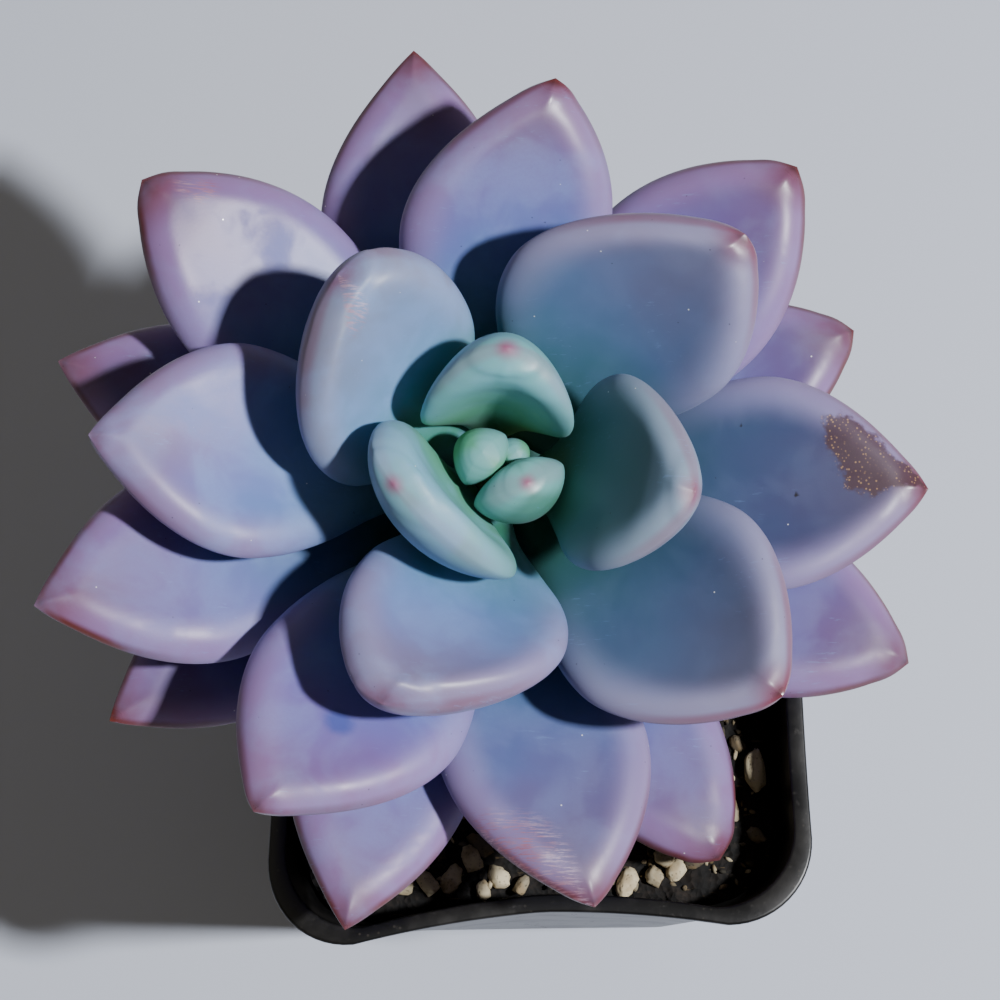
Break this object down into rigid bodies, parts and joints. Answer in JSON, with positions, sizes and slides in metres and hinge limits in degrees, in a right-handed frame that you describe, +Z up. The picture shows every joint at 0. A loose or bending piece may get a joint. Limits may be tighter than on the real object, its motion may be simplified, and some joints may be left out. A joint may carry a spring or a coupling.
{
  "type": "potted rosette succulent",
  "caption": "Rosette succulent with thick, pointed, upcurved leaves on a short bent stem, rooted in gritty soil in a tapered square nursery pot.",
  "frame": {"origin": "centre of the pot's flat underside, which the pot stands on", "axes": "+Z up, out of the pot's mouth; +X and +Y square to the pot's sides, +X to the picture's right and +Y to its top"},
  "size_m": [0.0954, 0.0969, 0.0999],
  "materials": {
    "pot_plastic": "satin",
    "potting_mix": "rough, loose",
    "leaf_skin": "waxy bloom, satin",
    "bud_skin": "waxy bloom, satin",
    "stem_bark": "dry, scarred"
  },
  "bodies": {
    "root": {"pot": "pot_plastic", "soil": "potting_mix", "stem": "stem_bark", "heart_bud": "bud_skin", "leaf_01": "leaf_skin", "leaf_02": "leaf_skin", "leaf_03": "leaf_skin", "leaf_04": "leaf_skin", "leaf_05": "leaf_skin", "leaf_06": "leaf_skin", "leaf_07": "leaf_skin", "leaf_08": "leaf_skin", "leaf_09": "leaf_skin", "leaf_10": "leaf_skin", "leaf_11": "leaf_skin", "leaf_12": "leaf_skin", "leaf_13": "leaf_skin", "leaf_14": "leaf_skin", "leaf_15": "leaf_skin", "leaf_16": "leaf_skin", "leaf_17": "leaf_skin", "leaf_18": "leaf_skin", "leaf_19": "leaf_skin", "leaf_20": "leaf_skin", "leaf_21": "leaf_skin", "leaf_22": "leaf_skin", "leaf_23": "leaf_skin", "leaf_24": "leaf_skin"}
  },
  "joints": []
}
